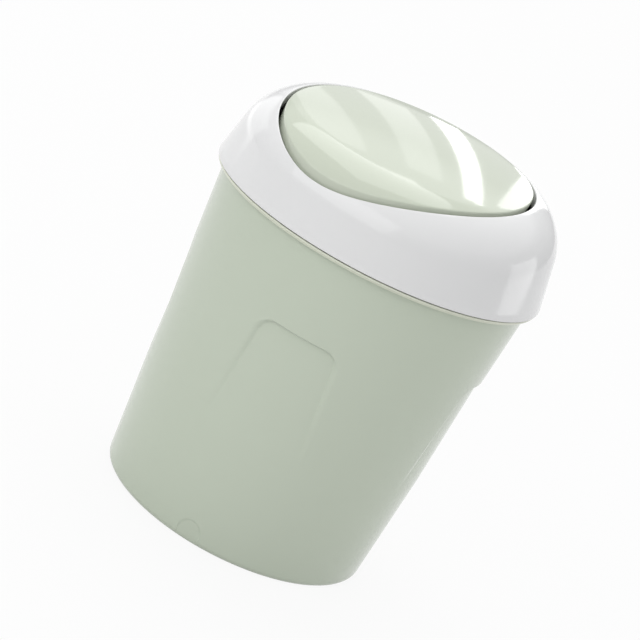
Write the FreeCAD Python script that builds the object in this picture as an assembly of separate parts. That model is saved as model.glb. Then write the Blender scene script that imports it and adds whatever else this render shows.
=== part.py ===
import FreeCAD
import Part
import math
import os

# Flip-lid trash can. Millimetres, +Z up, the front looks along -Y, left is -X.
# The origin is on the floor, on the bucket's axis.

V = FreeCAD.Vector
UP = V(0, 0, 1)
ORIGIN = V(0, 0, 0)

# Bucket
BASE_RADIUS = 91.8
TOP_RADIUS = 109.0
SEAM_HEIGHT = 217.0
NECK_HEIGHT = 10.0
NECK_STEP = 0.4
BUCKET_WALL = 2.0
BUCKET_FLOOR = 2.5
FOOT_RECESS = 3.0
FOOT_RING_WIDTH = 8.0
FOOT_EDGE_RADIUS = 4.0
BEAD_GAP = 0.8
BEAD_STEP_HEIGHT = 1.3
BEAD_LOWER_SETBACK = 2.6
BEAD_UPPER_SETBACK = 1.2

# Grip panels sunk into the bucket's wall
PANEL_COUNT = 4
PANEL_TURN = 20.6
PANEL_TOP = 159.5
PANEL_BOTTOM = 80.0
PANEL_TOP_HALF_WIDTH = 27.5
PANEL_BOTTOM_HALF_WIDTH = 35.0
PANEL_DEPTH = 2.2
PANEL_CORNER_RADIUS = 11.0

# Arch mark on the foot
ARCH_TURN = 15.8
ARCH_HALF_WIDTH = 7.8
ARCH_HEIGHT = 15.0
ARCH_DEPTH = 0.5

# Dome that the collar and the lid share
COLLAR_OVERHANG = 6.0
WALL_DRAFT = 11.3
CROWN_RADIUS = 590.0
CROWN_HEIGHT = 65.2
CROWN_SETBACK = 41.5
SHOULDER_RADIUS = 38.0

# Mouth in the collar, an ellipse seen from above, set in from the collar's lower edge
MOUTH_FRONT_MARGIN = 7.5
MOUTH_REAR_MARGIN = 31.1
MOUTH_SIDE_MARGIN = 33.0

# Collar
COLLAR_WALL = 2.4
COLLAR_EDGE_RADIUS = 0.8
LIP_WALL = 2.2
LIP_EDGE_RADIUS = 0.5
LIP_DEPTH = 8.0
SEAT_CLEARANCE = 0.3
SHELF_THICKNESS = 2.0
SHELF_INWARD = 1.1
GUIDE_WALL = 1.6
GUIDE_LENGTH = 8.0

# Rear stop under the lid's skirt
STOP_HALF_WIDTH = 25.0
STOP_INWARD = 7.0
STOP_THICKNESS = 2.0
STOP_CLEARANCE = 0.3
BUMPER_RADIUS = 2.2
BUMPER_HEIGHT = 1.5
BUMPER_HALF_SPACING = 15.0

# Lid
LID_GAP = 2.5
LID_WALL = 2.0
LID_EDGE_RADIUS = 1.0
SKIRT_WALL = 2.0
SKIRT_DEPTH = 11.5
LINER_DROP = 9.0
LINER_WALL = 2.0
LINER_CLEARANCE = 0.15

# Screws
SCREW_RADIUS = 1.2
SCREW_HEAD_RADIUS = 2.6
SCREW_HEAD_HEIGHT = 1.8
SCREW_LENGTH = 8.0
SCREW_TIP_ROOM = 0.6
PILOT_CLEARANCE = 0.03
THROUGH_CLEARANCE = 0.3
LID_POST_RADIUS = 3.0
LID_BOSS_RADIUS = 4.0
LID_BOSS_RAISE = 0.6
LID_BOSS_HEIGHT = 3.4
LID_SCREW_SIDE_MARGIN = 47.0
LID_SCREW_FRONT_MARGIN = 50.7
LID_SCREW_REAR_MARGIN = 45.7

# Counterweight
WEIGHT_LENGTH = 80.0
WEIGHT_WIDTH = 18.0
WEIGHT_THICKNESS = 4.0
WEIGHT_REAR_MARGIN = 29.7
WEIGHT_ROOM = 0.4
WEIGHT_SCREW_HALF_SPACING = 25.0
WEIGHT_SCREW_GRIP = 3.0
WEIGHT_BOSS_HEIGHT = 4.5

# Pivot
PIN_RADIUS = 3.0
PIN_BELOW_SKIRT = 1.0
PIN_RUNNING_CLEARANCE = 0.05
PIN_PRESS_CLEARANCE = 0.01
EAR_INSIDE_MOUTH = 8.0
EAR_THICKNESS = 5.0
EAR_HALF_WIDTH = 7.0
EAR_BELOW_PIN = 4.0
LUG_OUTSIDE_MOUTH = 1.5
LUG_THICKNESS = 5.0
LUG_HALF_WIDTH = 6.0
LUG_ABOVE_PIN = 2.6
PIN_END_RECESS = 0.5
BRACKET_PLATE_DROP = 3.6
BRACKET_PLATE_THICKNESS = 3.0
BRACKET_PLATE_HALF_LENGTH = 17.0
BRACKET_PLATE_WIDTH = 10.0
BRACKET_PLATE_LEDGE = 1.0
BRACKET_SCREW_HALF_SPACING = 12.0
BRACKET_SCREW_OUTSIDE_MOUTH = 6.0
BRACKET_POST_RADIUS = 3.2

# Sizes that follow from the ones above
NECK_TOP = SEAM_HEIGHT + NECK_HEIGHT
NECK_RADIUS = TOP_RADIUS - NECK_STEP
SHELF_INNER_RADIUS = NECK_RADIUS - BUCKET_WALL - SHELF_INWARD
COLLAR_RADIUS = TOP_RADIUS + COLLAR_OVERHANG
MOUTH_HALF_LENGTH = COLLAR_RADIUS - (MOUTH_FRONT_MARGIN + MOUTH_REAR_MARGIN) / 2
MOUTH_HALF_WIDTH = COLLAR_RADIUS - MOUTH_SIDE_MARGIN
PIVOT_Y = (MOUTH_FRONT_MARGIN - MOUTH_REAR_MARGIN) / 2
EAR_INNER = MOUTH_HALF_WIDTH - EAR_INSIDE_MOUTH - EAR_THICKNESS
LUG_INNER = MOUTH_HALF_WIDTH + LUG_OUTSIDE_MOUTH
LID_SCREW_HALF_SPACING = MOUTH_HALF_WIDTH - LID_SCREW_SIDE_MARGIN
LID_SCREW_FRONT = MOUTH_HALF_LENGTH - LID_SCREW_FRONT_MARGIN
LID_SCREW_REAR = MOUTH_HALF_LENGTH - LID_SCREW_REAR_MARGIN
WEIGHT_BEHIND_PIVOT = MOUTH_HALF_LENGTH - WEIGHT_REAR_MARGIN
BRACKET_SCREW_OUT = MOUTH_HALF_WIDTH + BRACKET_SCREW_OUTSIDE_MOUTH
BUCKET_SLOPE = (TOP_RADIUS - BASE_RADIUS) / SEAM_HEIGHT
DRAFT_TAN = math.tan(math.radians(WALL_DRAFT))
DRAFT_COS = math.cos(math.radians(WALL_DRAFT))
CROWN_CENTRE_Z = SEAM_HEIGHT + CROWN_HEIGHT - math.sqrt(CROWN_RADIUS ** 2 - CROWN_SETBACK ** 2)

# Reach of the construction blocks below and above the seam
BELOW_DOME = 40.0
ABOVE_DOME = 110.0


def bucket_radius(z):
    return BASE_RADIUS + BUCKET_SLOPE * z


def bucket_cone(inset, low, high):
    low_radius = bucket_radius(low) - inset
    high_radius = bucket_radius(high) - inset
    return Part.makeCone(low_radius, high_radius, high - low, V(0, 0, low))


def revolve(points):
    corners = [V(r, 0, z) for r, z in points]
    wire = Part.makePolygon(corners + corners[:1])
    return Part.Face(wire).revolve(ORIGIN, UP, 360)


def cylinder(radius, x, y, low, high):
    return Part.makeCylinder(radius, high - low, V(x, y, low))


def box(x_low, x_high, y_low, y_high, z_low, z_high):
    corner = V(x_low, y_low, z_low)
    return Part.makeBox(x_high - x_low, y_high - y_low, z_high - z_low, corner)


def dome(inset):
    """The solid under the shared outer surface, moved inward by inset: a drafted
    round wall, a wide spherical crown set back of the axis, a rolled shoulder."""
    wall_radius = COLLAR_RADIUS - inset / DRAFT_COS
    wall = Part.makeCone(
        wall_radius + DRAFT_TAN * BELOW_DOME,
        wall_radius - DRAFT_TAN * ABOVE_DOME,
        BELOW_DOME + ABOVE_DOME,
        V(0, 0, SEAM_HEIGHT - BELOW_DOME),
    )
    radius = CROWN_RADIUS - inset
    reach = 2 * COLLAR_RADIUS
    angle = math.asin(reach / radius)
    top = V(0, 0, radius)
    middle = V(radius * math.sin(angle / 2), 0, radius * math.cos(angle / 2))
    side = V(reach, 0, radius * math.cos(angle))
    low = SEAM_HEIGHT - 2 * BELOW_DOME - CROWN_CENTRE_Z
    arc = Part.Arc(top, middle, side).toShape()
    edge = Part.makeLine(side, V(reach, 0, low))
    floor = Part.makeLine(V(reach, 0, low), V(0, 0, low))
    axis = Part.makeLine(V(0, 0, low), top)
    cap = Part.Face(Part.Wire([arc, edge, floor, axis])).revolve(ORIGIN, UP, 360)
    cap.translate(V(0, CROWN_SETBACK, CROWN_CENTRE_Z))
    solid = wall.common(cap.toNurbs()).Solids[0]
    rim = [e for e in solid.Edges if e.BoundBox.ZMin > SEAM_HEIGHT and e.Length > COLLAR_RADIUS]
    return solid.makeFillet(SHOULDER_RADIUS - inset, rim)


def lowered(shape, depth):
    moved = shape.copy()
    moved.translate(V(0, 0, -depth))
    return moved


def mouth_prism(inward):
    """Upright elliptic block through the mouth, moved inward all round."""
    ellipse = Part.Ellipse(ORIGIN, MOUTH_HALF_LENGTH - inward, MOUTH_HALF_WIDTH - inward)
    face = Part.Face(Part.Wire(ellipse.toShape()))
    face.rotate(ORIGIN, UP, 90)
    face.translate(V(0, PIVOT_Y, SEAM_HEIGHT - BELOW_DOME))
    return face.extrude(V(0, 0, BELOW_DOME + ABOVE_DOME))


def mouth_edges(shape, inward):
    """Edges that run along the mouth's outline, on the shared outer surface."""
    edges = []
    for edge in shape.Edges:
        if edge.Degenerated or edge.BoundBox.ZMin < SEAM_HEIGHT:
            continue
        middle = edge.valueAt((edge.FirstParameter + edge.LastParameter) / 2)
        along = (middle.y - PIVOT_Y) / (MOUTH_HALF_LENGTH - inward)
        across = middle.x / (MOUTH_HALF_WIDTH - inward)
        if abs(along ** 2 + across ** 2 - 1) < 0.001:
            edges.append(edge)
    return edges


def crown_height(x, y):
    """Height of the crown's outer surface over a point inside the shoulder."""
    return CROWN_CENTRE_Z + math.sqrt(CROWN_RADIUS ** 2 - x ** 2 - (y - CROWN_SETBACK) ** 2)


def surface_height(x, y):
    """Height of the whole outer surface over a point, the shoulder included."""
    line = Part.makeLine(V(x, y, SEAM_HEIGHT), V(x, y, SEAM_HEIGHT + ABOVE_DOME))
    return line.common(OUTER).BoundBox.ZMax


def screw(x, y, seat, length):
    """Screw driven upward: the head hangs under seat, the shank ends at its tip."""
    head = cylinder(SCREW_HEAD_RADIUS, x, y, seat - SCREW_HEAD_HEIGHT, seat)
    shank = cylinder(SCREW_RADIUS, x, y, seat - SCREW_HEAD_HEIGHT / 2, seat + length)
    return head.fuse(shank)


def pilot(x, y, seat, length):
    return cylinder(SCREW_RADIUS + PILOT_CLEARANCE, x, y, seat, seat + length + SCREW_TIP_ROOM)


def through_hole(x, y, low, high):
    return cylinder(SCREW_RADIUS + THROUGH_CLEARANCE, x, y, low, high)


def panel_prism(grow):
    """Block through the front wall with the outline of one grip panel, which runs
    on below the panel's fading lower end."""
    side_slope = (PANEL_BOTTOM_HALF_WIDTH - PANEL_TOP_HALF_WIDTH) / (PANEL_TOP - PANEL_BOTTOM)
    low = PANEL_BOTTOM - PANEL_CORNER_RADIUS
    low_half = PANEL_BOTTOM_HALF_WIDTH + side_slope * PANEL_CORNER_RADIUS + grow
    top = PANEL_TOP + grow
    top_half = PANEL_TOP_HALF_WIDTH + grow
    reach = -2 * TOP_RADIUS
    corners = [
        V(-low_half, reach, low),
        V(low_half, reach, low),
        V(top_half, reach, top),
        V(-top_half, reach, top),
    ]
    wire = Part.makePolygon(corners + corners[:1])
    block = Part.Face(wire).extrude(V(0, -reach, 0))
    upper = []
    for edge in block.Edges:
        bounds = edge.BoundBox
        if bounds.YLength > TOP_RADIUS and bounds.ZMin > PANEL_BOTTOM:
            upper.append(edge)
    return block.makeFillet(PANEL_CORNER_RADIUS + grow, upper)


def panel_floor(inset):
    """Cone of the panels' sunk face, which meets the wall at the panels' lower end."""
    slope = BUCKET_SLOPE - PANEL_DEPTH / (PANEL_TOP - PANEL_BOTTOM)
    base = bucket_radius(PANEL_BOTTOM) - slope * PANEL_BOTTOM - inset
    return Part.makeCone(base, base + slope * SEAM_HEIGHT, SEAM_HEIGHT, ORIGIN)


def turned(shape, degrees):
    moved = shape.copy()
    moved.rotate(ORIGIN, UP, degrees)
    return moved


def make_bucket():
    bead_top = SEAM_HEIGHT - BEAD_GAP
    bead_middle = bead_top - BEAD_STEP_HEIGHT
    bead_low = bead_middle - BEAD_STEP_HEIGHT
    lower_radius = COLLAR_RADIUS - BEAD_LOWER_SETBACK
    upper_radius = COLLAR_RADIUS - BEAD_UPPER_SETBACK
    floor_top = FOOT_RECESS + BUCKET_FLOOR
    neck_inner = NECK_RADIUS - BUCKET_WALL
    neck_start = SEAM_HEIGHT - NECK_STEP / BUCKET_SLOPE
    foot_inner = BASE_RADIUS - FOOT_RING_WIDTH
    body = revolve([
        (0, FOOT_RECESS),
        (foot_inner, FOOT_RECESS),
        (foot_inner, 0),
        (BASE_RADIUS, 0),
        (bucket_radius(bead_low), bead_low),
        (lower_radius, bead_low),
        (lower_radius, bead_middle),
        (upper_radius, bead_middle),
        (upper_radius, bead_top),
        (NECK_RADIUS, bead_top),
        (NECK_RADIUS, NECK_TOP),
        (neck_inner, NECK_TOP),
        (neck_inner, neck_start),
        (bucket_radius(floor_top) - BUCKET_WALL, floor_top),
        (0, floor_top),
    ])
    foot = []
    for edge in body.Edges:
        if edge.BoundBox.ZMax < FOOT_RECESS / 2 and edge.BoundBox.XMax > BASE_RADIUS - FOOT_RING_WIDTH / 2:
            foot.append(edge)
    body = body.makeFillet(FOOT_EDGE_RADIUS, foot)
    middle_cone = bucket_cone(BUCKET_WALL / 2, 0, SEAM_HEIGHT)
    pad = panel_prism(BUCKET_WALL).common(middle_cone).cut(panel_floor(BUCKET_WALL))
    recess = panel_prism(0).cut(panel_floor(0))
    for index in range(PANEL_COUNT):
        turn = PANEL_TURN + index * 360 / PANEL_COUNT
        body = body.fuse(turned(pad, turn))
        body = body.cut(turned(recess, turn))
    shaft_top = ARCH_HEIGHT - ARCH_HALF_WIDTH
    reach = 2 * BASE_RADIUS
    arch = box(-ARCH_HALF_WIDTH, ARCH_HALF_WIDTH, -reach, 0, -1, shaft_top)
    arch = arch.fuse(Part.makeCylinder(ARCH_HALF_WIDTH, reach, V(0, -reach, shaft_top), V(0, 1, 0)))
    arch = arch.cut(bucket_cone(ARCH_DEPTH, -2, SEAM_HEIGHT))
    return body.cut(turned(arch, ARCH_TURN))


def pivot_height():
    """Height of the pivot, set by the skirt that the pins pass under."""
    skirt_low = surface_height(MOUTH_HALF_WIDTH - LID_GAP, PIVOT_Y) - SKIRT_DEPTH
    return skirt_low - PIN_BELOW_SKIRT - PIN_RADIUS


def rear_stop_top():
    """Height of the stop ledge, set by the skirt that rests over it."""
    y = PIVOT_Y + skirt_rear_reach(LID_GAP)
    return surface_height(BUMPER_HALF_SPACING, y) - SKIRT_DEPTH - STOP_CLEARANCE - BUMPER_HEIGHT


def skirt_rear_reach(inward):
    """Distance of the skirt behind the mouth's centre, at the bumpers' spacing."""
    share = BUMPER_HALF_SPACING / (MOUTH_HALF_WIDTH - inward)
    return (MOUTH_HALF_LENGTH - inward) * math.sqrt(1 - share ** 2)


def bracket_screw_places(side):
    """Screw positions of one bracket; side is -1 for left and 1 for right."""
    x = side * BRACKET_SCREW_OUT
    return [(x, PIVOT_Y - BRACKET_SCREW_HALF_SPACING), (x, PIVOT_Y + BRACKET_SCREW_HALF_SPACING)]


def make_collar():
    plate_top = PIVOT_HEIGHT - BRACKET_PLATE_DROP
    shelf_low = NECK_TOP + SEAT_CLEARANCE
    shelf_top = shelf_low + SHELF_THICKNESS
    guide_inner = NECK_RADIUS + SEAT_CLEARANCE
    guide_low = shelf_low - GUIDE_LENGTH
    ledge_top = REAR_STOP_TOP
    ledge_low = ledge_top - STOP_THICKNESS
    over_all = SEAM_HEIGHT + ABOVE_DOME

    below = cylinder(2 * COLLAR_RADIUS, 0, 0, SEAM_HEIGHT - 2 * BELOW_DOME, SEAM_HEIGHT)
    shell = OUTER.cut([below, mouth_prism(0)])
    shell = shell.makeFillet(LIP_EDGE_RADIUS, mouth_edges(shell, 0))
    rim = [e for e in shell.Edges if e.BoundBox.ZMax < SEAM_HEIGHT + 1 and e.BoundBox.XMax > MOUTH_HALF_LENGTH]
    shell = shell.makeFillet(COLLAR_EDGE_RADIUS, rim)
    lip = mouth_prism(-LIP_WALL).cut(lowered(OUTER, LIP_DEPTH))
    shell = shell.cut(dome(COLLAR_WALL).cut(lip))

    in_wall = dome(COLLAR_WALL / 2)
    shelf = cylinder(COLLAR_RADIUS, 0, 0, shelf_low, shelf_top).common(in_wall)
    guide = cylinder(guide_inner + GUIDE_WALL, 0, 0, guide_low, shelf_top)
    guide = guide.cut(cylinder(guide_inner, 0, 0, guide_low, shelf_low))
    seat = shelf.fuse(guide).cut(cylinder(SHELF_INNER_RADIUS, 0, 0, guide_low, shelf_top))

    ledge = box(-STOP_HALF_WIDTH, STOP_HALF_WIDTH, 0, COLLAR_RADIUS, ledge_low, over_all)
    ledge = ledge.common(mouth_prism(-LIP_WALL)).common(in_wall)
    over_ledge = box(-COLLAR_RADIUS, COLLAR_RADIUS, 0, COLLAR_RADIUS, ledge_top, over_all)
    ledge = ledge.cut([mouth_prism(STOP_INWARD), mouth_prism(0).common(over_ledge)])

    posts = []
    pilots = []
    for side in (-1, 1):
        for x, y in bracket_screw_places(side):
            post = cylinder(BRACKET_POST_RADIUS, x, y, plate_top, over_all)
            posts.append(post.common(in_wall))
            pilots.append(pilot(x, y, plate_top - BRACKET_PLATE_THICKNESS, SCREW_LENGTH))
    return shell.fuse([seat, ledge] + posts).cut(pilots)


def lid_screw_places():
    places = []
    for y in (PIVOT_Y - LID_SCREW_FRONT, PIVOT_Y + LID_SCREW_REAR):
        for x in (-LID_SCREW_HALF_SPACING, LID_SCREW_HALF_SPACING):
            places.append((x, y))
    return places


def boss_top(x, y):
    return crown_height(x, y) - LINER_DROP + LID_BOSS_RAISE


def make_lid_cover():
    cover = OUTER.common(mouth_prism(LID_GAP))
    cover = cover.makeFillet(LID_EDGE_RADIUS, mouth_edges(cover, LID_GAP))
    hollow = dome(LID_WALL).common(mouth_prism(LID_GAP + SKIRT_WALL))
    cover = cover.cut([lowered(OUTER, SKIRT_DEPTH), hollow])
    in_wall = dome(LID_WALL / 2)
    posts = []
    pilots = []
    for x, y in lid_screw_places():
        top = boss_top(x, y)
        post = cylinder(LID_POST_RADIUS, x, y, top, SEAM_HEIGHT + ABOVE_DOME)
        posts.append(post.common(in_wall))
        pilots.append(pilot(x, y, top - LID_BOSS_HEIGHT, SCREW_LENGTH))
    return cover.fuse(posts).cut(pilots)


def weight_places():
    y = PIVOT_Y + WEIGHT_BEHIND_PIVOT
    return [(-WEIGHT_SCREW_HALF_SPACING, y), (WEIGHT_SCREW_HALF_SPACING, y)]


def weight_low():
    """Underside of the bar: its upper corners clear the cover's inner face."""
    y = PIVOT_Y + WEIGHT_BEHIND_PIVOT + WEIGHT_WIDTH / 2
    return crown_height(WEIGHT_LENGTH / 2, y) - LID_WALL - WEIGHT_ROOM - WEIGHT_THICKNESS


def make_lid_liner():
    shell = lowered(OUTER, LINER_DROP).cut(lowered(OUTER, LINER_DROP + LINER_WALL))
    shell = shell.common(mouth_prism(LID_GAP + SKIRT_WALL + LINER_CLEARANCE))
    in_wall = lowered(OUTER, LINER_DROP + LINER_WALL / 2)
    added = []
    holes = []
    for side in (-1, 1):
        inner = side * EAR_INNER
        outer = side * (EAR_INNER + EAR_THICKNESS)
        low = PIVOT_HEIGHT - PIN_RADIUS - EAR_BELOW_PIN
        ear = box(
            min(inner, outer), max(inner, outer),
            PIVOT_Y - EAR_HALF_WIDTH, PIVOT_Y + EAR_HALF_WIDTH,
            low, SEAM_HEIGHT + ABOVE_DOME,
        )
        added.append(ear.common(in_wall))
        holes.append(pin_cylinder(side, PIN_PRESS_CLEARANCE))
    bosses = [(x, y, boss_top(x, y), LID_BOSS_HEIGHT) for x, y in lid_screw_places()]
    bosses += [(x, y, weight_low(), WEIGHT_BOSS_HEIGHT) for x, y in weight_places()]
    for x, y, top, height in bosses:
        added.append(cylinder(LID_BOSS_RADIUS, x, y, top - height, top))
        holes.append(through_hole(x, y, top - height, top))
    return shell.fuse(added).cut(holes)


def make_liner_screws():
    screws = []
    for x, y in lid_screw_places():
        screws.append(screw(x, y, boss_top(x, y) - LID_BOSS_HEIGHT, SCREW_LENGTH))
    return Part.makeCompound(screws)


def make_counterweight():
    low = weight_low()
    y = PIVOT_Y + WEIGHT_BEHIND_PIVOT
    half = WEIGHT_LENGTH / 2
    bar = box(-half, half, y - WEIGHT_WIDTH / 2, y + WEIGHT_WIDTH / 2, low, low + WEIGHT_THICKNESS)
    for x, y in weight_places():
        hole = cylinder(SCREW_RADIUS + PILOT_CLEARANCE, x, y, low, low + WEIGHT_THICKNESS)
        bar = bar.cut(hole)
    return bar


def make_counterweight_screws():
    seat = weight_low() - WEIGHT_BOSS_HEIGHT
    screws = []
    for x, y in weight_places():
        screws.append(screw(x, y, seat, WEIGHT_BOSS_HEIGHT + WEIGHT_SCREW_GRIP))
    return Part.makeCompound(screws)


def pin_cylinder(side, clearance):
    start = side * EAR_INNER
    end = side * (LUG_INNER + LUG_THICKNESS - PIN_END_RECESS)
    base = V(min(start, end), PIVOT_Y, PIVOT_HEIGHT)
    return Part.makeCylinder(PIN_RADIUS + clearance, abs(end - start), base, V(1, 0, 0))


def make_pivot_bracket(side):
    plate_top = PIVOT_HEIGHT - BRACKET_PLATE_DROP
    plate_low = plate_top - BRACKET_PLATE_THICKNESS
    inner = side * (LUG_INNER - BRACKET_PLATE_LEDGE)
    outer = side * (LUG_INNER - BRACKET_PLATE_LEDGE + BRACKET_PLATE_WIDTH)
    bracket = box(
        min(inner, outer), max(inner, outer),
        PIVOT_Y - BRACKET_PLATE_HALF_LENGTH, PIVOT_Y + BRACKET_PLATE_HALF_LENGTH,
        plate_low, plate_top,
    )
    lug_inner = side * LUG_INNER
    lug_outer = side * (LUG_INNER + LUG_THICKNESS)
    lug = box(
        min(lug_inner, lug_outer), max(lug_inner, lug_outer),
        PIVOT_Y - LUG_HALF_WIDTH, PIVOT_Y + LUG_HALF_WIDTH,
        plate_low, PIVOT_HEIGHT + PIN_RADIUS + LUG_ABOVE_PIN,
    )
    bracket = bracket.fuse(lug)
    bore_start = min(lug_inner, lug_outer)
    bore = Part.makeCylinder(
        PIN_RADIUS + PIN_RUNNING_CLEARANCE, LUG_THICKNESS,
        V(bore_start, PIVOT_Y, PIVOT_HEIGHT), V(1, 0, 0))
    bracket = bracket.cut(bore)
    for x, y in bracket_screw_places(side):
        bracket = bracket.cut(through_hole(x, y, plate_low, plate_top))
    return bracket


def make_bracket_screws():
    seat = PIVOT_HEIGHT - BRACKET_PLATE_DROP - BRACKET_PLATE_THICKNESS
    screws = []
    for side in (-1, 1):
        for x, y in bracket_screw_places(side):
            screws.append(screw(x, y, seat, SCREW_LENGTH))
    return Part.makeCompound(screws)


def make_stop_bumpers():
    low = REAR_STOP_TOP
    y = PIVOT_Y + skirt_rear_reach(LID_GAP + SKIRT_WALL / 2)
    pads = []
    for x in (-BUMPER_HALF_SPACING, BUMPER_HALF_SPACING):
        pads.append(cylinder(BUMPER_RADIUS, x, y, low, low + BUMPER_HEIGHT))
    return Part.makeCompound(pads)


OUTER = dome(0)
PIVOT_HEIGHT = pivot_height()
REAR_STOP_TOP = rear_stop_top()

NODES = {
    "bucket": make_bucket(),
    "collar": make_collar(),
    "lid_cover": make_lid_cover(),
    "lid_liner": make_lid_liner(),
    "liner_screws": make_liner_screws(),
    "counterweight": make_counterweight(),
    "counterweight_screws": make_counterweight_screws(),
    "pivot_pin_left": pin_cylinder(-1, 0),
    "pivot_pin_right": pin_cylinder(1, 0),
    "pivot_bracket_left": make_pivot_bracket(-1),
    "pivot_bracket_right": make_pivot_bracket(1),
    "bracket_screws": make_bracket_screws(),
    "stop_bumpers": make_stop_bumpers(),
}

os.makedirs("parts", exist_ok=True)
for name, shape in NODES.items():
    shape.exportStep("parts/" + name + ".step")
    print(name, shape.isValid(), len(shape.Solids), round(shape.Volume), shape.BoundBox)
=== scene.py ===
import bpy
import math
import numpy as np
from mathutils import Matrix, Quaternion, Vector


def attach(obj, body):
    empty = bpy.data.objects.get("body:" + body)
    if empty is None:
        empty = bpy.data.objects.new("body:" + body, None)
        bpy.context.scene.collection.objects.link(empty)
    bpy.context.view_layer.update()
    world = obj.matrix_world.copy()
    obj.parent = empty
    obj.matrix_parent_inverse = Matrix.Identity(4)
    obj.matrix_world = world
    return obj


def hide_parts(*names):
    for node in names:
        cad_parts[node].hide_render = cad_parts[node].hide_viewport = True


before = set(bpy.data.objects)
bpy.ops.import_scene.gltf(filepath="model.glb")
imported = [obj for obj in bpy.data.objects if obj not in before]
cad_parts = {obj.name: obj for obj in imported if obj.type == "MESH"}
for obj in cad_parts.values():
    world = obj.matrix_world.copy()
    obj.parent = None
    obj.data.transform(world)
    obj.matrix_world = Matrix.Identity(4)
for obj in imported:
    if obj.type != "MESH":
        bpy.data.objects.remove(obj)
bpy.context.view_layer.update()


# Bucket: the tapered round body, moulded in sage green plastic in one shot with its stepped rim
# bead and foot ring. Four shallow grip panels fade out downwards, and a faint arch marks the foot.
BUCKET_BASE = 0.0918
BUCKET_TOP = 0.1090
BUCKET_HEIGHT = 0.217
BUCKET_SLOPE = (BUCKET_TOP - BUCKET_BASE) / BUCKET_HEIGHT
BUCKET_WALL = 0.0020
FOOT_INSET = 0.0037
FOOT_ROUND = 0.004
FOOT_STEP = math.radians(14.3)
WALL_TOP = 0.2132
BEAD_INNER = 0.1089
BEAD_BLEND = 0.0006
PANEL_TURN = math.radians(20.6 - 90)
PANEL_TOP = 0.1595
PANEL_FADE = 0.080
PANEL_TOP_HALF = 0.0275
PANEL_BOTTOM_HALF = 0.035
PANEL_CORNER = 0.011
PANEL_DEPTH = 0.0022
PANEL_TOP_EDGE = 0.0005
PANEL_SIDE_EDGE = 0.0020
PANEL_BAND = 0.0065
ARCH_TURN = math.radians(15.8 - 90)
ARCH_HALF = 0.0078
ARCH_SPRING = 0.0072
ARCH_DEPTH = 0.0005
ARCH_EDGE = 0.0003
ARCH_RISE = 0.003
ARCH_BAND = 0.0095
FOOT_BLEND_TOP = 0.060
FOOT_BLEND_LENGTH = 0.040
ROWS_START = 0.0046
ARCH_ROWS_END = 0.0166
PANEL_ROWS_START = 0.076
TOP_ROWS_START = 0.147
TOP_ROWS_END = 0.1608
QUARTER = math.pi / 2
PANEL_WIDENING = (PANEL_BOTTOM_HALF - PANEL_TOP_HALF) / (PANEL_TOP - PANEL_FADE)


def bucket_radius(height):
    return BUCKET_BASE + BUCKET_SLOPE * height


def heights(low, high, count):
    return [low + (high - low) * k / count for k in range(count)]


bucket_profile = [(0.0, 0.003), (0.0835, 0.003), (0.0838, 0.0027), (0.0838, 0.0002), (0.0840, 0.0)]
foot_reach = BUCKET_BASE - FOOT_INSET
for k in range(7):
    swing = FOOT_STEP * k - QUARTER
    bucket_profile.append((foot_reach + FOOT_ROUND * math.cos(swing), FOOT_ROUND * (1 + math.sin(swing))))
# The rows lie close together over the arch at the foot and along the top edge of the panels.
outer_heights = heights(ROWS_START, ARCH_ROWS_END, 24) + heights(ARCH_ROWS_END, PANEL_ROWS_START, 10)
outer_heights += heights(PANEL_ROWS_START, TOP_ROWS_START, 40) + heights(TOP_ROWS_START, TOP_ROWS_END, 34)
outer_heights += heights(TOP_ROWS_END, WALL_TOP, 6) + [WALL_TOP]
bucket_profile += [(bucket_radius(z), z) for z in outer_heights]
# The stepped bead, then the neck that the collar drops over.
bucket_profile += [
    (0.10880, 0.21352), (0.10910, 0.21360), (0.11200, 0.21360), (0.11225, 0.21366), (0.11238, 0.21382),
    (0.11240, 0.21400), (0.11240, 0.21475), (0.11245, 0.21487), (0.11260, 0.21490), (0.11342, 0.21490),
    (0.11365, 0.21496), (0.11378, 0.21512), (0.11380, 0.21532), (0.11380, 0.21572), (0.11376, 0.21594),
    (0.11363, 0.21612), (0.11338, 0.21620), (0.10890, 0.21620), (0.10866, 0.21630), (0.10860, 0.21650),
    (0.10860, 0.22660), (0.10848, 0.22688), (0.10820, 0.22700), (0.10700, 0.22700), (0.10672, 0.22688),
    (0.10660, 0.22660),
]
# The inside, from the neck down to the floor of the bucket.
inner_heights = heights(0.212, 0.162, 3) + heights(0.162, 0.146, 16)
inner_heights += heights(0.146, PANEL_ROWS_START, 18) + heights(PANEL_ROWS_START, 0.009, 6)
bucket_profile += [(bucket_radius(z) - BUCKET_WALL, z) for z in inner_heights]
bucket_profile += [(0.0900, 0.0070), (0.0893, 0.0060), (0.0880, 0.0055), (0.0, 0.0055)]

bpy.ops.object.select_all(action="DESELECT")
bpy.ops.mesh.primitive_plane_add(size=0.001)
bucket = bpy.context.object
bucket.name = "bucket_shell"
bpy.ops.object.mode_set(mode="EDIT")
bpy.ops.mesh.select_all(action="SELECT")
bpy.ops.mesh.merge(type="CENTER")
bpy.ops.transform.translate(value=(bucket_profile[0][0], 0, bucket_profile[0][1]))
for here, there in zip(bucket_profile, bucket_profile[1:]):
    step = (there[0] - here[0], 0, there[1] - here[1])
    bpy.ops.mesh.extrude_vertices_move(TRANSFORM_OT_translate={"value": step})
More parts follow.
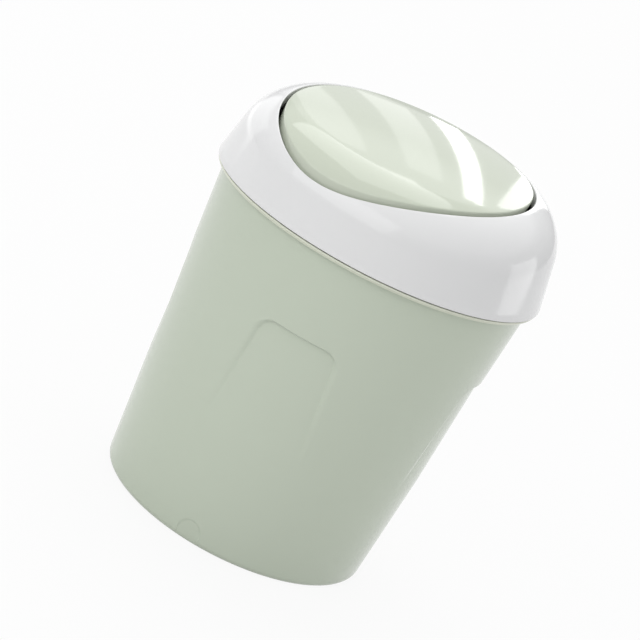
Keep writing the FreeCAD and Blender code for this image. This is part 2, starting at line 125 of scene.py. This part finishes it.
# The columns of one quarter lie close together along the panel's edges, and far apart between them.
BANDS = np.cumsum([0, 16, 32, 14, 32, 16])
bpy.ops.mesh.select_all(action="SELECT")
bpy.ops.mesh.spin(steps=4 * BANDS[-1], angle=2 * math.pi, center=(0, 0, 0), axis=(0, 0, 1))
bpy.ops.mesh.select_all(action="SELECT")
bpy.ops.mesh.remove_doubles(threshold=0.00001)
bpy.ops.mesh.normals_make_consistent(inside=False)
bpy.ops.object.mode_set(mode="OBJECT")

places = np.empty(len(bucket.data.vertices) * 3)
bucket.data.vertices.foreach_get("co", places)
places = places.reshape(-1, 3)
radius = np.hypot(places[:, 0], places[:, 1])
height = places[:, 2]
column = (np.arctan2(places[:, 1], places[:, 0]) - PANEL_TURN + QUARTER / 2) % (2 * math.pi) / QUARTER
quarter = np.floor(column + 1e-6)
column = (column - quarter) * BANDS[-1]
wall_radius = bucket_radius(height)
panel_half = PANEL_TOP_HALF + PANEL_WIDENING * (PANEL_TOP - height)
panel_edge = np.arcsin(np.clip(panel_half, PANEL_TOP_HALF, PANEL_BOTTOM_HALF) / wall_radius)
band = PANEL_BAND / wall_radius
arch = ARCH_TURN - PANEL_TURN
arch_band = ARCH_BAND / wall_radius
arch_core = 0.2 * arch_band
at_foot = np.clip((FOOT_BLEND_TOP - height) / FOOT_BLEND_LENGTH, 0, 1)
knots = [
    -QUARTER / 2 + 0 * band,
    at_foot * (arch - arch_band) + (1 - at_foot) * (-panel_edge - band),
    at_foot * (arch - arch_core) + (1 - at_foot) * (-panel_edge + band),
    at_foot * (arch + arch_core) + (1 - at_foot) * (panel_edge - band),
    at_foot * (arch + arch_band) + (1 - at_foot) * (panel_edge + band),
    QUARTER / 2 + 0 * band,
]
offset = knots[0]
for k in range(5):
    along = np.clip((column - BANDS[k]) / (BANDS[k + 1] - BANDS[k]), 0, 1)
    offset = offset + along * (knots[k + 1] - knots[k])
# Each panel is sunk most at its top, with a sharp edge there and soft edges at its sides.
across = np.abs(radius * np.sin(offset))
side = (across - panel_half) / math.hypot(1, PANEL_WIDENING)
above = height - PANEL_TOP
tall = np.maximum(above + PANEL_CORNER, 0)
corner = np.hypot(np.maximum(side + PANEL_CORNER, 0), tall)
edge = corner + np.minimum(np.maximum(side, above) + PANEL_CORNER, 0) - PANEL_CORNER
at_top = (tall / np.maximum(corner, 1e-6)) ** 2
edge_half = PANEL_SIDE_EDGE + (PANEL_TOP_EDGE - PANEL_SIDE_EDGE) * at_top
share = np.clip(0.5 - edge / (2 * edge_half), 0, 1)
sunk = PANEL_DEPTH * np.clip((height - PANEL_FADE) / (PANEL_TOP - PANEL_FADE), 0, 1)
sunk = sunk * share ** 2 * (1 + 2 * at_top * (1 - share))
# The arch is on the outside of one quarter only.
across = radius * np.sin(offset - arch)
edge = np.where(height < ARCH_SPRING, np.abs(across), np.hypot(across, height - ARCH_SPRING)) - ARCH_HALF
at_arch = (quarter == 0) & (radius > wall_radius - BUCKET_WALL / 2)
share = np.clip(0.5 - edge / (2 * ARCH_EDGE), 0, 1) * at_arch
sunk = sunk + ARCH_DEPTH * share * np.clip(height / ARCH_RISE, 0, 1)
on_wall = (radius > wall_radius - 1.6 * BUCKET_WALL) & (height < WALL_TOP - 0.0001)
radius = np.where(on_wall, radius - sunk, radius)
turn = PANEL_TURN + quarter * QUARTER + offset
places = np.stack([radius * np.cos(turn), radius * np.sin(turn), height], 1)
bucket.data.vertices.foreach_set("co", places.ravel())
bucket.data.update()
bpy.ops.object.shade_smooth_by_angle(angle=math.radians(60))


def plastic(name, colour, deep_colour, roughness, grain):
    """Moulded plastic: a faint cloudiness in the colour, a fine grain and an uneven gloss."""
    material = bpy.data.materials.new(name)
    material.use_nodes = True
    nodes = material.node_tree.nodes
    links = material.node_tree.links
    shader = nodes["Principled BSDF"]
    coordinates = nodes.new("ShaderNodeTexCoord")
    cloud = nodes.new("ShaderNodeTexNoise")
    cloud.inputs["Scale"].default_value = 14
    cloud.inputs["Detail"].default_value = 3
    tint = nodes.new("ShaderNodeMix")
    tint.data_type = "RGBA"
    tint.inputs["A"].default_value = (*deep_colour, 1)
    tint.inputs["B"].default_value = (*colour, 1)
    gloss = nodes.new("ShaderNodeMapRange")
    gloss.inputs["To Min"].default_value = roughness * 0.85
    gloss.inputs["To Max"].default_value = roughness * 1.15
    speckle = nodes.new("ShaderNodeTexNoise")
    speckle.inputs["Scale"].default_value = 900
    speckle.inputs["Detail"].default_value = 2
    bump = nodes.new("ShaderNodeBump")
    bump.inputs["Strength"].default_value = grain
    bump.inputs["Distance"].default_value = 0.0002
    links.new(coordinates.outputs["Object"], cloud.inputs["Vector"])
    links.new(coordinates.outputs["Object"], speckle.inputs["Vector"])
    links.new(cloud.outputs["Fac"], tint.inputs["Factor"])
    links.new(tint.outputs["Result"], shader.inputs["Base Color"])
    links.new(cloud.outputs["Fac"], gloss.inputs["Value"])
    links.new(gloss.outputs["Result"], shader.inputs["Roughness"])
    links.new(speckle.outputs["Fac"], bump.inputs["Height"])
    links.new(bump.outputs["Normal"], shader.inputs["Normal"])
    shader.inputs["IOR"].default_value = 1.5
    return material


sage_plastic = plastic("sage_plastic", (0.540, 0.596, 0.492), (0.528, 0.584, 0.480), 0.17, 0.05)
# Painted highlight: the rim bead is painted a paler cream than the wall, standing in for the light that its
# face catches. Nothing else of the bucket lies so far out.
nodes = sage_plastic.node_tree.nodes
links = sage_plastic.node_tree.links
flat = nodes.new("ShaderNodeVectorMath")
flat.operation = "MULTIPLY"
flat.inputs[1].default_value = (1, 1, 0)
reach = nodes.new("ShaderNodeVectorMath")
reach.operation = "LENGTH"
on_bead = nodes.new("ShaderNodeMapRange")
on_bead.interpolation_type = "SMOOTHSTEP"
on_bead.inputs["From Min"].default_value = BEAD_INNER
on_bead.inputs["From Max"].default_value = BEAD_INNER + BEAD_BLEND
# The cream colour mixed in here is a painted highlight on the bead, not a colour of the plastic.
painted_bead_highlight = nodes.new("ShaderNodeMix")
painted_bead_highlight.data_type = "RGBA"
painted_bead_highlight.inputs["B"].default_value = (0.70, 0.725, 0.605, 1)
links.new(nodes["Texture Coordinate"].outputs["Object"], flat.inputs[0])
links.new(flat.outputs["Vector"], reach.inputs[0])
links.new(reach.outputs["Value"], on_bead.inputs["Value"])
links.new(on_bead.outputs["Result"], painted_bead_highlight.inputs["Factor"])
links.new(nodes["Mix"].outputs["Result"], painted_bead_highlight.inputs["A"])
links.new(painted_bead_highlight.outputs["Result"], nodes["Principled BSDF"].inputs["Base Color"])
bucket.data.materials.append(sage_plastic)
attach(bucket, "bucket_body")
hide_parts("bucket")


# Collar: the glossy white domed ring that drops over the bucket's neck. It is one moulding, with
# a drafted wall, a rolled shoulder, a crown set back of the middle and an upright lip round the mouth.
SEAM = 0.217
COLLAR_RADIUS = 0.115
DRAFT = math.radians(11.3)
CROWN_RADIUS = 0.590
CROWN_BACK = 0.0415
CROWN_HEIGHT = 0.0652
CROWN_RUN = 0.085
CROWN_CENTRE = SEAM + CROWN_HEIGHT - math.sqrt(CROWN_RADIUS ** 2 - CROWN_BACK ** 2)
SHOULDER = 0.038
MOUTH_LENGTH = 0.0957
MOUTH_WIDTH = 0.082
MOUTH_CENTRE = -0.0118
COLLAR_WALL = 0.0024
COLLAR_FOOT = 0.11415
COLLAR_FOOT_ROUND = 0.0008
SHELF_TOP = SEAM + 0.0123
SHELF_INNER = 0.1055
SHELF_WALL = 0.002
SHELF_ROOT = 0.0022
GUIDE_INNER = 0.1089
GUIDE_OUTER = 0.1104
GUIDE_DEPTH = 0.010
SOCKET_RADIUS = 0.1124
SOCKET_FOOT = 0.1127
SOCKET_ROUND = 0.0006
LIP_WALL = 0.0022
LIP_DEPTH = 0.008
LIP_ROUND = 0.0011
DOME_COLUMNS = 288
dome_turns = np.linspace(0, 2 * math.pi, DOME_COLUMNS + 1)
dome_turns[-1] = 0.0


def shoulder_balls():
    """Centres of the ball that rolls between the wall and the crown to form the shoulder."""
    level = np.full_like(dome_turns, SEAM)
    for _ in range(15):
        reach = COLLAR_RADIUS - math.tan(DRAFT) * (level - SEAM) - SHOULDER / math.cos(DRAFT)
        x = reach * np.cos(dome_turns)
        y = reach * np.sin(dome_turns)
        level = CROWN_CENTRE + np.sqrt((CROWN_RADIUS - SHOULDER) ** 2 - x ** 2 - (y - CROWN_BACK) ** 2)
    return np.stack([x, y, level], 1)


BALLS = shoulder_balls()
WALL_WAY = np.stack([
    math.cos(DRAFT) * np.cos(dome_turns),
    math.cos(DRAFT) * np.sin(dome_turns),
    np.full_like(dome_turns, math.sin(DRAFT)),
], 1)
CROWN_WAY = (BALLS - np.array([0, CROWN_BACK, CROWN_CENTRE])) / (CROWN_RADIUS - SHOULDER)
ROLL = np.arccos((WALL_WAY * CROWN_WAY).sum(1))


def dome(share, inset=0.0):
    """A ring of points on the dome. Share 0 is the shoulder's start on the wall, 1 its end on the
    crown, and 2 the crown's point over the bucket's axis."""
    share = np.broadcast_to(share, dome_turns.shape)
    low = np.clip(share, 0, 1)
    way = np.sin((1 - low) * ROLL)[:, None] * WALL_WAY + np.sin(low * ROLL)[:, None] * CROWN_WAY
    shoulder = BALLS + (SHOULDER - inset) * way / np.sin(ROLL)[:, None]
    start = BALLS + (SHOULDER - inset) * CROWN_WAY
    left = 1 - np.clip(share - 1, 0, 1)
    x = start[:, 0] * left
    y = start[:, 1] * left
    z = CROWN_CENTRE + np.sqrt((CROWN_RADIUS - inset) ** 2 - x ** 2 - (y - CROWN_BACK) ** 2)
    return np.where((share <= 1)[:, None], shoulder, np.stack([x, y, z], 1))


def mouth_share(inward, inset=0.0):
    """Share at which the dome meets the mouth's ellipse, moved inward."""
    low = np.zeros_like(dome_turns)
    high = np.full_like(dome_turns, 2.0)
    for _ in range(45):
        middle = (low + high) / 2
        ring = dome(middle, inset)
        along = (ring[:, 1] - MOUTH_CENTRE) / (MOUTH_LENGTH - inward)
        across = ring[:, 0] / (MOUTH_WIDTH - inward)
        outside = along ** 2 + across ** 2 > 1
        low = np.where(outside, middle, low)
        high = np.where(outside, high, middle)
    return low


def round_ring(radius, height):
    return np.stack([
        radius * np.cos(dome_turns),
        radius * np.sin(dome_turns),
        np.full_like(dome_turns, height),
    ], 1)


def lowered(ring, depth):
    return ring - np.array([0, 0, 1]) * np.reshape(depth, (-1, 1))


def rounded_edge(before, corner, after, count):
    """Rings that round a corner off, from one face to the other."""
    first = corner - before
    second = after - corner
    first_unit = first / np.linalg.norm(first, axis=1)[:, None]
    second_unit = second / np.linalg.norm(second, axis=1)[:, None]
    bend = np.arccos(np.clip((first_unit * second_unit).sum(1), -1, 1))
    pull = (4 / 3 * np.tan(bend / 4) / np.tan(bend / 2))[:, None]
    rings = []
    for k in range(count + 1):
        t = k / count
        start_pull = before + pull * first
        end_pull = after - pull * second
        rings.append(
            (1 - t) ** 3 * before + 3 * (1 - t) ** 2 * t * start_pull
            + 3 * (1 - t) * t ** 2 * end_pull + t ** 3 * after)
    return rings


def rolled_shell(name, rings):
    """A sheet with one row of points for each ring, rolled up and closed along its seam."""
    bpy.ops.object.select_all(action="DESELECT")
    bpy.ops.mesh.primitive_grid_add(x_subdivisions=DOME_COLUMNS, y_subdivisions=len(rings) - 1, size=1)
    shell = bpy.context.object
    shell.name = name
    shell.data.vertices.foreach_set("co", np.array(rings).ravel())
    shell.data.update()
    bpy.ops.object.mode_set(mode="EDIT")
    bpy.ops.mesh.select_all(action="SELECT")
    bpy.ops.mesh.remove_doubles(threshold=0.00001)
    bpy.ops.mesh.normals_make_consistent(inside=False)
    bpy.ops.object.mode_set(mode="OBJECT")
    bpy.ops.object.shade_smooth_by_angle(angle=math.radians(38))
    return shell


lip_share = mouth_share(0)
lip_edge = dome(lip_share)
shoulder_length = SHOULDER * ROLL
round_share = lip_share - np.where(lip_share <= 1, LIP_ROUND / shoulder_length, LIP_ROUND / CROWN_RUN)
collar_rings = [
    round_ring(COLLAR_FOOT, SEAM), round_ring(0.11460, SEAM + 0.00012), round_ring(0.11480, SEAM + 0.00045),
]
wall_start = round_ring(COLLAR_RADIUS - math.tan(DRAFT) * COLLAR_FOOT_ROUND, SEAM + COLLAR_FOOT_ROUND)
wall_end = dome(0.0)
for k in range(6):
    collar_rings.append(wall_start + (wall_end - wall_start) * k / 6)
for k in range(16):
    collar_rings.append(dome(round_share * k / 16))
collar_rings += rounded_edge(dome(round_share), lip_edge, lowered(lip_edge, LIP_ROUND), 7)
collar_rings.append(lowered(lip_edge, LIP_DEPTH))


def lip_foot(outward):
    return lowered(dome(mouth_share(-outward)), LIP_DEPTH)


# The lip's wall thins out where it runs into the collar's wall.
inner_reach = COLLAR_RADIUS - COLLAR_WALL / math.cos(DRAFT)
near = np.zeros_like(dome_turns)
far = np.full_like(dome_turns, LIP_WALL)
for _ in range(30):
    middle = (near + far) / 2
    foot = lip_foot(middle)
    room = inner_reach - math.tan(DRAFT) * (foot[:, 2] - SEAM) - np.hypot(foot[:, 0], foot[:, 1])
    near = np.where(room > 0, middle, near)
    far = np.where(room > 0, far, middle)
lip_outer_low = lip_foot(near)
lip_outer_top = dome(mouth_share(-near, COLLAR_WALL), COLLAR_WALL)
in_wall = (near < LIP_WALL * 0.99) | (lip_outer_top[:, 2] < lip_outer_low[:, 2])
lip_outer_top = np.where(in_wall[:, None], lip_outer_low, lip_outer_top)
collar_rings += [lip_outer_low, lip_outer_top]
# The inside of the dome and wall, down to the shelf over the bucket's neck.
for k in range(1, 9):
    level = lip_outer_top[:, 2] + (SHELF_TOP - lip_outer_top[:, 2]) * k / 8
    low = np.zeros_like(level)
    high = np.full_like(level, 2.0)
    for _ in range(30):
        middle = (low + high) / 2
        under = dome(middle, COLLAR_WALL)[:, 2] < level
        low = np.where(under, middle, low)
        high = np.where(under, high, middle)
    on_shoulder = dome(low, COLLAR_WALL)
    reach = inner_reach - math.tan(DRAFT) * (level - SEAM)
    on_wall = np.stack([reach * np.cos(dome_turns), reach * np.sin(dome_turns), level], 1)
    below_shoulder = level <= dome(0.0, COLLAR_WALL)[:, 2]
    collar_rings.append(np.where(below_shoulder[:, None], on_wall, on_shoulder))
shelf_under = SHELF_TOP - SHELF_WALL
guide_foot = SHELF_TOP - GUIDE_DEPTH
collar_rings += [
    round_ring(SHELF_INNER, SHELF_TOP), round_ring(SHELF_INNER, shelf_under),
    round_ring(GUIDE_INNER, shelf_under), round_ring(GUIDE_INNER, guide_foot),
    round_ring(GUIDE_OUTER, guide_foot), round_ring(GUIDE_OUTER, SHELF_TOP - SHELF_ROOT),
    round_ring(SOCKET_RADIUS, SEAM + SOCKET_ROUND), round_ring(SOCKET_FOOT, SEAM),
    round_ring(COLLAR_FOOT, SEAM),
]
collar = rolled_shell("collar_shell", collar_rings)
white_plastic = plastic("white_plastic", (0.760, 0.760, 0.760), (0.745, 0.745, 0.748), 0.11, 0.03)
collar.data.materials.append(white_plastic)
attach(collar, "collar_body")
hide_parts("collar")


# Collar fittings: four screw posts that carry the pivot brackets, and the ledge at the back that
# stops the lid. They are of the same white plastic and moulded in one with the collar.
POST_OUT = 0.088
POST_APART = 0.012
POST_REACH = 0.0033
POST_TOP = 0.2745
POST_UPRIGHT = 0.3
LEDGE_HALF = 0.02502
LEDGE_FRONT = 0.06
LEDGE_LOW = 0.2656
LEDGE_HIGH = 0.2678


def on_post(point):
    away = math.hypot(abs(point.x) - POST_OUT, abs(point.y - MOUTH_CENTRE) - POST_APART)
    return away < POST_REACH and point.z < POST_TOP


def on_ledge(point):
    return abs(point.x) < LEDGE_HALF and point.y > LEDGE_FRONT and LEDGE_LOW < point.z < LEDGE_HIGH


# A copy of the CAD collar keeps only the faces that lie wholly on a post or on the ledge.
bpy.ops.object.select_all(action="DESELECT")
fittings_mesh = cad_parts["collar"].data.copy()
fittings = bpy.data.objects.new("collar_fittings", fittings_mesh)
bpy.context.scene.collection.objects.link(fittings)
fittings.select_set(True)
bpy.context.view_layer.objects.active = fittings
bpy.ops.object.mode_set(mode="EDIT")
bpy.ops.mesh.select_all(action="SELECT")
bpy.ops.mesh.remove_doubles(threshold=0.00001)
bpy.ops.mesh.select_all(action="DESELECT")
bpy.ops.object.mode_set(mode="OBJECT")
for face in fittings_mesh.polygons:
    corners = [fittings_mesh.vertices[v].co for v in face.vertices]
    is_post = face.normal.z < POST_UPRIGHT and all(on_post(c) for c in corners)
    is_ledge = all(on_ledge(c) for c in corners)
    face.select = not (is_post or is_ledge)
bpy.ops.object.mode_set(mode="EDIT")
bpy.ops.mesh.delete(type="FACE")
bpy.ops.mesh.select_all(action="SELECT")
bpy.ops.mesh.fill_holes(sides=0)
bpy.ops.mesh.normals_make_consistent(inside=False)
bpy.ops.object.mode_set(mode="OBJECT")
bpy.ops.object.shade_smooth_by_angle(angle=math.radians(35))
fittings_mesh.materials.clear()
fittings_mesh.materials.append(white_plastic)
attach(fittings, "collar_body")


# Lid: the glossy pale green cover that fills the mouth, flush with the dome, with an upright
# skirt all round. It hangs on two pins and swings inward at the front.
LID_GAP = 0.0025
LID_WALL = 0.0020
SKIRT_WALL = 0.0020
SKIRT_DEPTH = 0.0115
LID_ROUND = 0.0008
CROWN_MARGIN = 0.05

edge_share = mouth_share(LID_GAP)
lid_edge = dome(edge_share)
top_share = edge_share + np.where(edge_share < 1, LID_ROUND / shoulder_length, LID_ROUND / CROWN_RUN)
under_share = mouth_share(LID_GAP + SKIRT_WALL, LID_WALL)
crown_share = np.maximum(under_share + CROWN_MARGIN, 1.0)
lid_rings = [dome(crown_share + (2 - crown_share) * (1 - k / 8), LID_WALL) for k in range(9)]
lid_rings += [dome(under_share + (crown_share - under_share) * (1 - k / 8), LID_WALL) for k in range(1, 9)]
lid_rings.append(lowered(dome(mouth_share(LID_GAP + SKIRT_WALL)), SKIRT_DEPTH))
lid_rings.append(lowered(lid_edge, SKIRT_DEPTH))
lid_rings.append(lowered(lid_edge, SKIRT_DEPTH * 0.5))
lid_rings += rounded_edge(lowered(lid_edge, LID_ROUND), lid_edge, dome(top_share), 6)
crown_share = np.maximum(top_share + CROWN_MARGIN, 1.0)
lid_rings += [dome(top_share + (crown_share - top_share) * k / 18) for k in range(1, 19)]
lid_rings += [dome(crown_share + (2 - crown_share) * k / 16) for k in range(1, 17)]
lid = rolled_shell("lid_shell", lid_rings)
pale_plastic = plastic("pale_plastic", (0.550, 0.592, 0.492), (0.538, 0.580, 0.480), 0.06, 0.02)
lid.data.materials.append(pale_plastic)
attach(lid, "lid_body")
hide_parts("lid_cover")


# Lid liner and pivot brackets: plain inner mouldings of off-white plastic, seen only with the
# lid open. The liner closes the lid from below and holds the pins in its two ears.
inner_plastic = plastic("inner_plastic", (0.70, 0.71, 0.67), (0.66, 0.67, 0.63), 0.38, 0.12)
for name in ("lid_liner", "pivot_bracket_left", "pivot_bracket_right"):
    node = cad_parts[name]
    node.data.materials.clear()
    node.data.materials.append(inner_plastic)


# Metal pieces: turned steel pivot pins held in the liner's ears, zinc plated screws, and the rolled
# steel bar that is screwed to the liner and weighs the back of the lid down.
def steel(name, colour, roughness, stretch):
    """Steel with fine lines along one way, left by drawing, turning or rolling."""
    material = bpy.data.materials.new(name)
    material.use_nodes = True
    nodes = material.node_tree.nodes
    links = material.node_tree.links
    shader = nodes["Principled BSDF"]
    coordinates = nodes.new("ShaderNodeTexCoord")
    mapping = nodes.new("ShaderNodeMapping")
    mapping.inputs["Scale"].default_value = stretch
    lines = nodes.new("ShaderNodeTexNoise")
    lines.inputs["Scale"].default_value = 40
    lines.inputs["Detail"].default_value = 4
    tint = nodes.new("ShaderNodeMix")
    tint.data_type = "RGBA"
    tint.inputs["A"].default_value = (*[c * 0.8 for c in colour], 1)
    tint.inputs["B"].default_value = (*colour, 1)
    gloss = nodes.new("ShaderNodeMapRange")
    gloss.inputs["To Min"].default_value = roughness * 0.75
    gloss.inputs["To Max"].default_value = roughness * 1.3
    bump = nodes.new("ShaderNodeBump")
    bump.inputs["Strength"].default_value = 0.15
    bump.inputs["Distance"].default_value = 0.0001
    links.new(coordinates.outputs["Object"], mapping.inputs["Vector"])
    links.new(mapping.outputs["Vector"], lines.inputs["Vector"])
    links.new(lines.outputs["Fac"], tint.inputs["Factor"])
    links.new(tint.outputs["Result"], shader.inputs["Base Color"])
    links.new(lines.outputs["Fac"], gloss.inputs["Value"])
    links.new(gloss.outputs["Result"], shader.inputs["Roughness"])
    links.new(lines.outputs["Fac"], bump.inputs["Height"])
    links.new(bump.outputs["Normal"], shader.inputs["Normal"])
    shader.inputs["Metallic"].default_value = 1.0
    return material


pin_steel = steel("pin_steel", (0.62, 0.62, 0.63), 0.25, (12, 1, 1))
screw_steel = steel("screw_steel", (0.58, 0.58, 0.60), 0.32, (4, 4, 1))
weight_steel = steel("weight_steel", (0.40, 0.40, 0.41), 0.42, (1, 14, 14))
metal_pieces = {
    "pivot_pin_left": pin_steel,
    "pivot_pin_right": pin_steel,
    "liner_screws": screw_steel,
    "counterweight_screws": screw_steel,
    "bracket_screws": screw_steel,
    "counterweight": weight_steel,
}
for name, metal in metal_pieces.items():
    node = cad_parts[name]
    node.data.materials.clear()
    node.data.materials.append(metal)


# Stop bumpers: two small black rubber pads set on the collar's rear ledge. The lid comes to rest on
# them, so that it closes quietly.
rubber = plastic("black_rubber", (0.030, 0.030, 0.030), (0.022, 0.022, 0.022), 0.70, 0.35)
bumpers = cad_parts["stop_bumpers"]
bumpers.data.materials.clear()
bumpers.data.materials.append(rubber)


# Floor: a plain white sheet of paper that the can stands on. It glows to the camera and in mirrored
# views, so it stays white there, and keeps a faint soft shadow.
FLOOR_SIZE = 60
FLOOR_GLOW = 0.90
bpy.ops.object.select_all(action="DESELECT")
bpy.ops.mesh.primitive_plane_add(size=FLOOR_SIZE)
floor = bpy.context.object
floor.name = "floor"
paper = bpy.data.materials.new("white_paper")
paper.use_nodes = True
nodes = paper.node_tree.nodes
links = paper.node_tree.links
shader = nodes["Principled BSDF"]
shader.inputs["Base Color"].default_value = (0.70, 0.70, 0.70, 1)
shader.inputs["Roughness"].default_value = 0.9
shader.inputs["Specular IOR Level"].default_value = 0.1
white = nodes.new("ShaderNodeEmission")
white.inputs["Strength"].default_value = 1.0
seen = nodes.new("ShaderNodeLightPath")
direct = nodes.new("ShaderNodeMath")
direct.operation = "MAXIMUM"
share = nodes.new("ShaderNodeMath")
share.operation = "MULTIPLY"
share.inputs[1].default_value = FLOOR_GLOW
mix = nodes.new("ShaderNodeMixShader")
links.new(seen.outputs["Is Camera Ray"], direct.inputs[0])
links.new(seen.outputs["Is Glossy Ray"], direct.inputs[1])
links.new(direct.outputs["Value"], share.inputs[0])
links.new(share.outputs["Value"], mix.inputs["Fac"])
links.new(shader.outputs["BSDF"], mix.inputs[1])
links.new(white.outputs["Emission"], mix.inputs[2])
links.new(mix.outputs["Shader"], nodes["Material Output"].inputs["Surface"])
floor.data.materials.append(paper)


# Studio: even surroundings with a brighter ceiling, a broad soft lamp in front of the can, pale panels
# to both sides, behind and above it, and upright strip lamps behind it, which the glossy lid mirrors.
LAMP_AIM = Vector((0, 0, 0.26))
LAMP_POWER = 4
world = bpy.data.worlds.new("studio")
bpy.context.scene.world = world
world.use_nodes = True
nodes = world.node_tree.nodes
links = world.node_tree.links
nodes["Background"].inputs["Color"].default_value = (0.99, 0.995, 1.0, 1)
coordinates = nodes.new("ShaderNodeTexCoord")
level = nodes.new("ShaderNodeSeparateXYZ")
ceiling = nodes.new("ShaderNodeMapRange")
ceiling.interpolation_type = "SMOOTHSTEP"
ceiling.inputs["From Min"].default_value = 0.38
ceiling.inputs["From Max"].default_value = 0.52
ceiling.inputs["To Min"].default_value = 0.50
ceiling.inputs["To Max"].default_value = 0.90
links.new(coordinates.outputs["Generated"], level.inputs["Vector"])
links.new(level.outputs["Z"], ceiling.inputs["Value"])
links.new(ceiling.outputs["Result"], nodes["Background"].inputs["Strength"])
backdrop = nodes.new("ShaderNodeBackground")
backdrop.inputs["Color"].default_value = (1, 1, 1, 1)
seen = nodes.new("ShaderNodeLightPath")
mix = nodes.new("ShaderNodeMixShader")
links.new(seen.outputs["Is Camera Ray"], mix.inputs["Fac"])
links.new(nodes["Background"].outputs["Background"], mix.inputs[1])
links.new(backdrop.outputs["Background"], mix.inputs[2])
links.new(mix.outputs["Shader"], nodes["World Output"].inputs["Surface"])


def soft_lamp(name, azimuth, elevation, distance, width, length, brightness, lean=0):
    """A lamp that looks at the lid from a direction given in degrees."""
    azimuth = math.radians(azimuth)
    elevation = math.radians(elevation)
    level = math.cos(elevation)
    way = Vector((level * math.cos(azimuth), level * math.sin(azimuth), math.sin(elevation)))
    bpy.ops.object.light_add(type="AREA", location=LAMP_AIM + distance * way)
    lamp = bpy.context.object
    lamp.name = name
    lamp.data.shape = "RECTANGLE"
    lamp.data.size = width
    lamp.data.size_y = length
    lamp.data.energy = LAMP_POWER * brightness * width * length
    turned = way.to_track_quat("Z", "Y") @ Quaternion((0, 0, 1), math.radians(lean))
    lamp.rotation_euler = turned.to_euler()
    lamp.visible_camera = False


soft_lamp("key", -95, 27, 1.6, 2.4, 0.8, 1.05)
soft_lamp("left_panel", 160, 4, 2.8, 1.8, 1.4, 0.6)
soft_lamp("right_panel", 50, 4, 2.8, 1.3, 1.0, 1.0)
soft_lamp("back_panel", 121, 24, 4.4, 2.8, 2.6, 0.25)
soft_lamp("sky_panel", 142, 64, 2.4, 1.8, 2.2, 1.25)
soft_lamp("strip_right", 107.2, 16, 4.0, 0.62, 1.9, 1.5, 5)
soft_lamp("strip_bright", 115.2, 20, 4.0, 0.12, 1.9, 2.6, 10)
soft_lamp("strip_middle", 119.6, 21, 4.0, 0.22, 1.7, 0.35, 8)
soft_lamp("strip_left", 129.5, 23, 4.0, 0.60, 1.6, 0.35, 4)


# Camera: a long lens from the front right, looking down on the lid and tilted as the photograph is.
# Its place and turn were fitted to the can's outline there.
bpy.ops.object.camera_add(location=(0.71548, -1.38621, 0.62832))
camera = bpy.context.object
camera.rotation_euler = (math.radians(70.6545), math.radians(-26.2745), math.radians(36.3853))
camera.data.sensor_width = 36
camera.data.lens = 141.58
camera.data.clip_start = 0.05
bpy.context.scene.camera = camera
bpy.context.scene.view_settings.view_transform = "Standard"
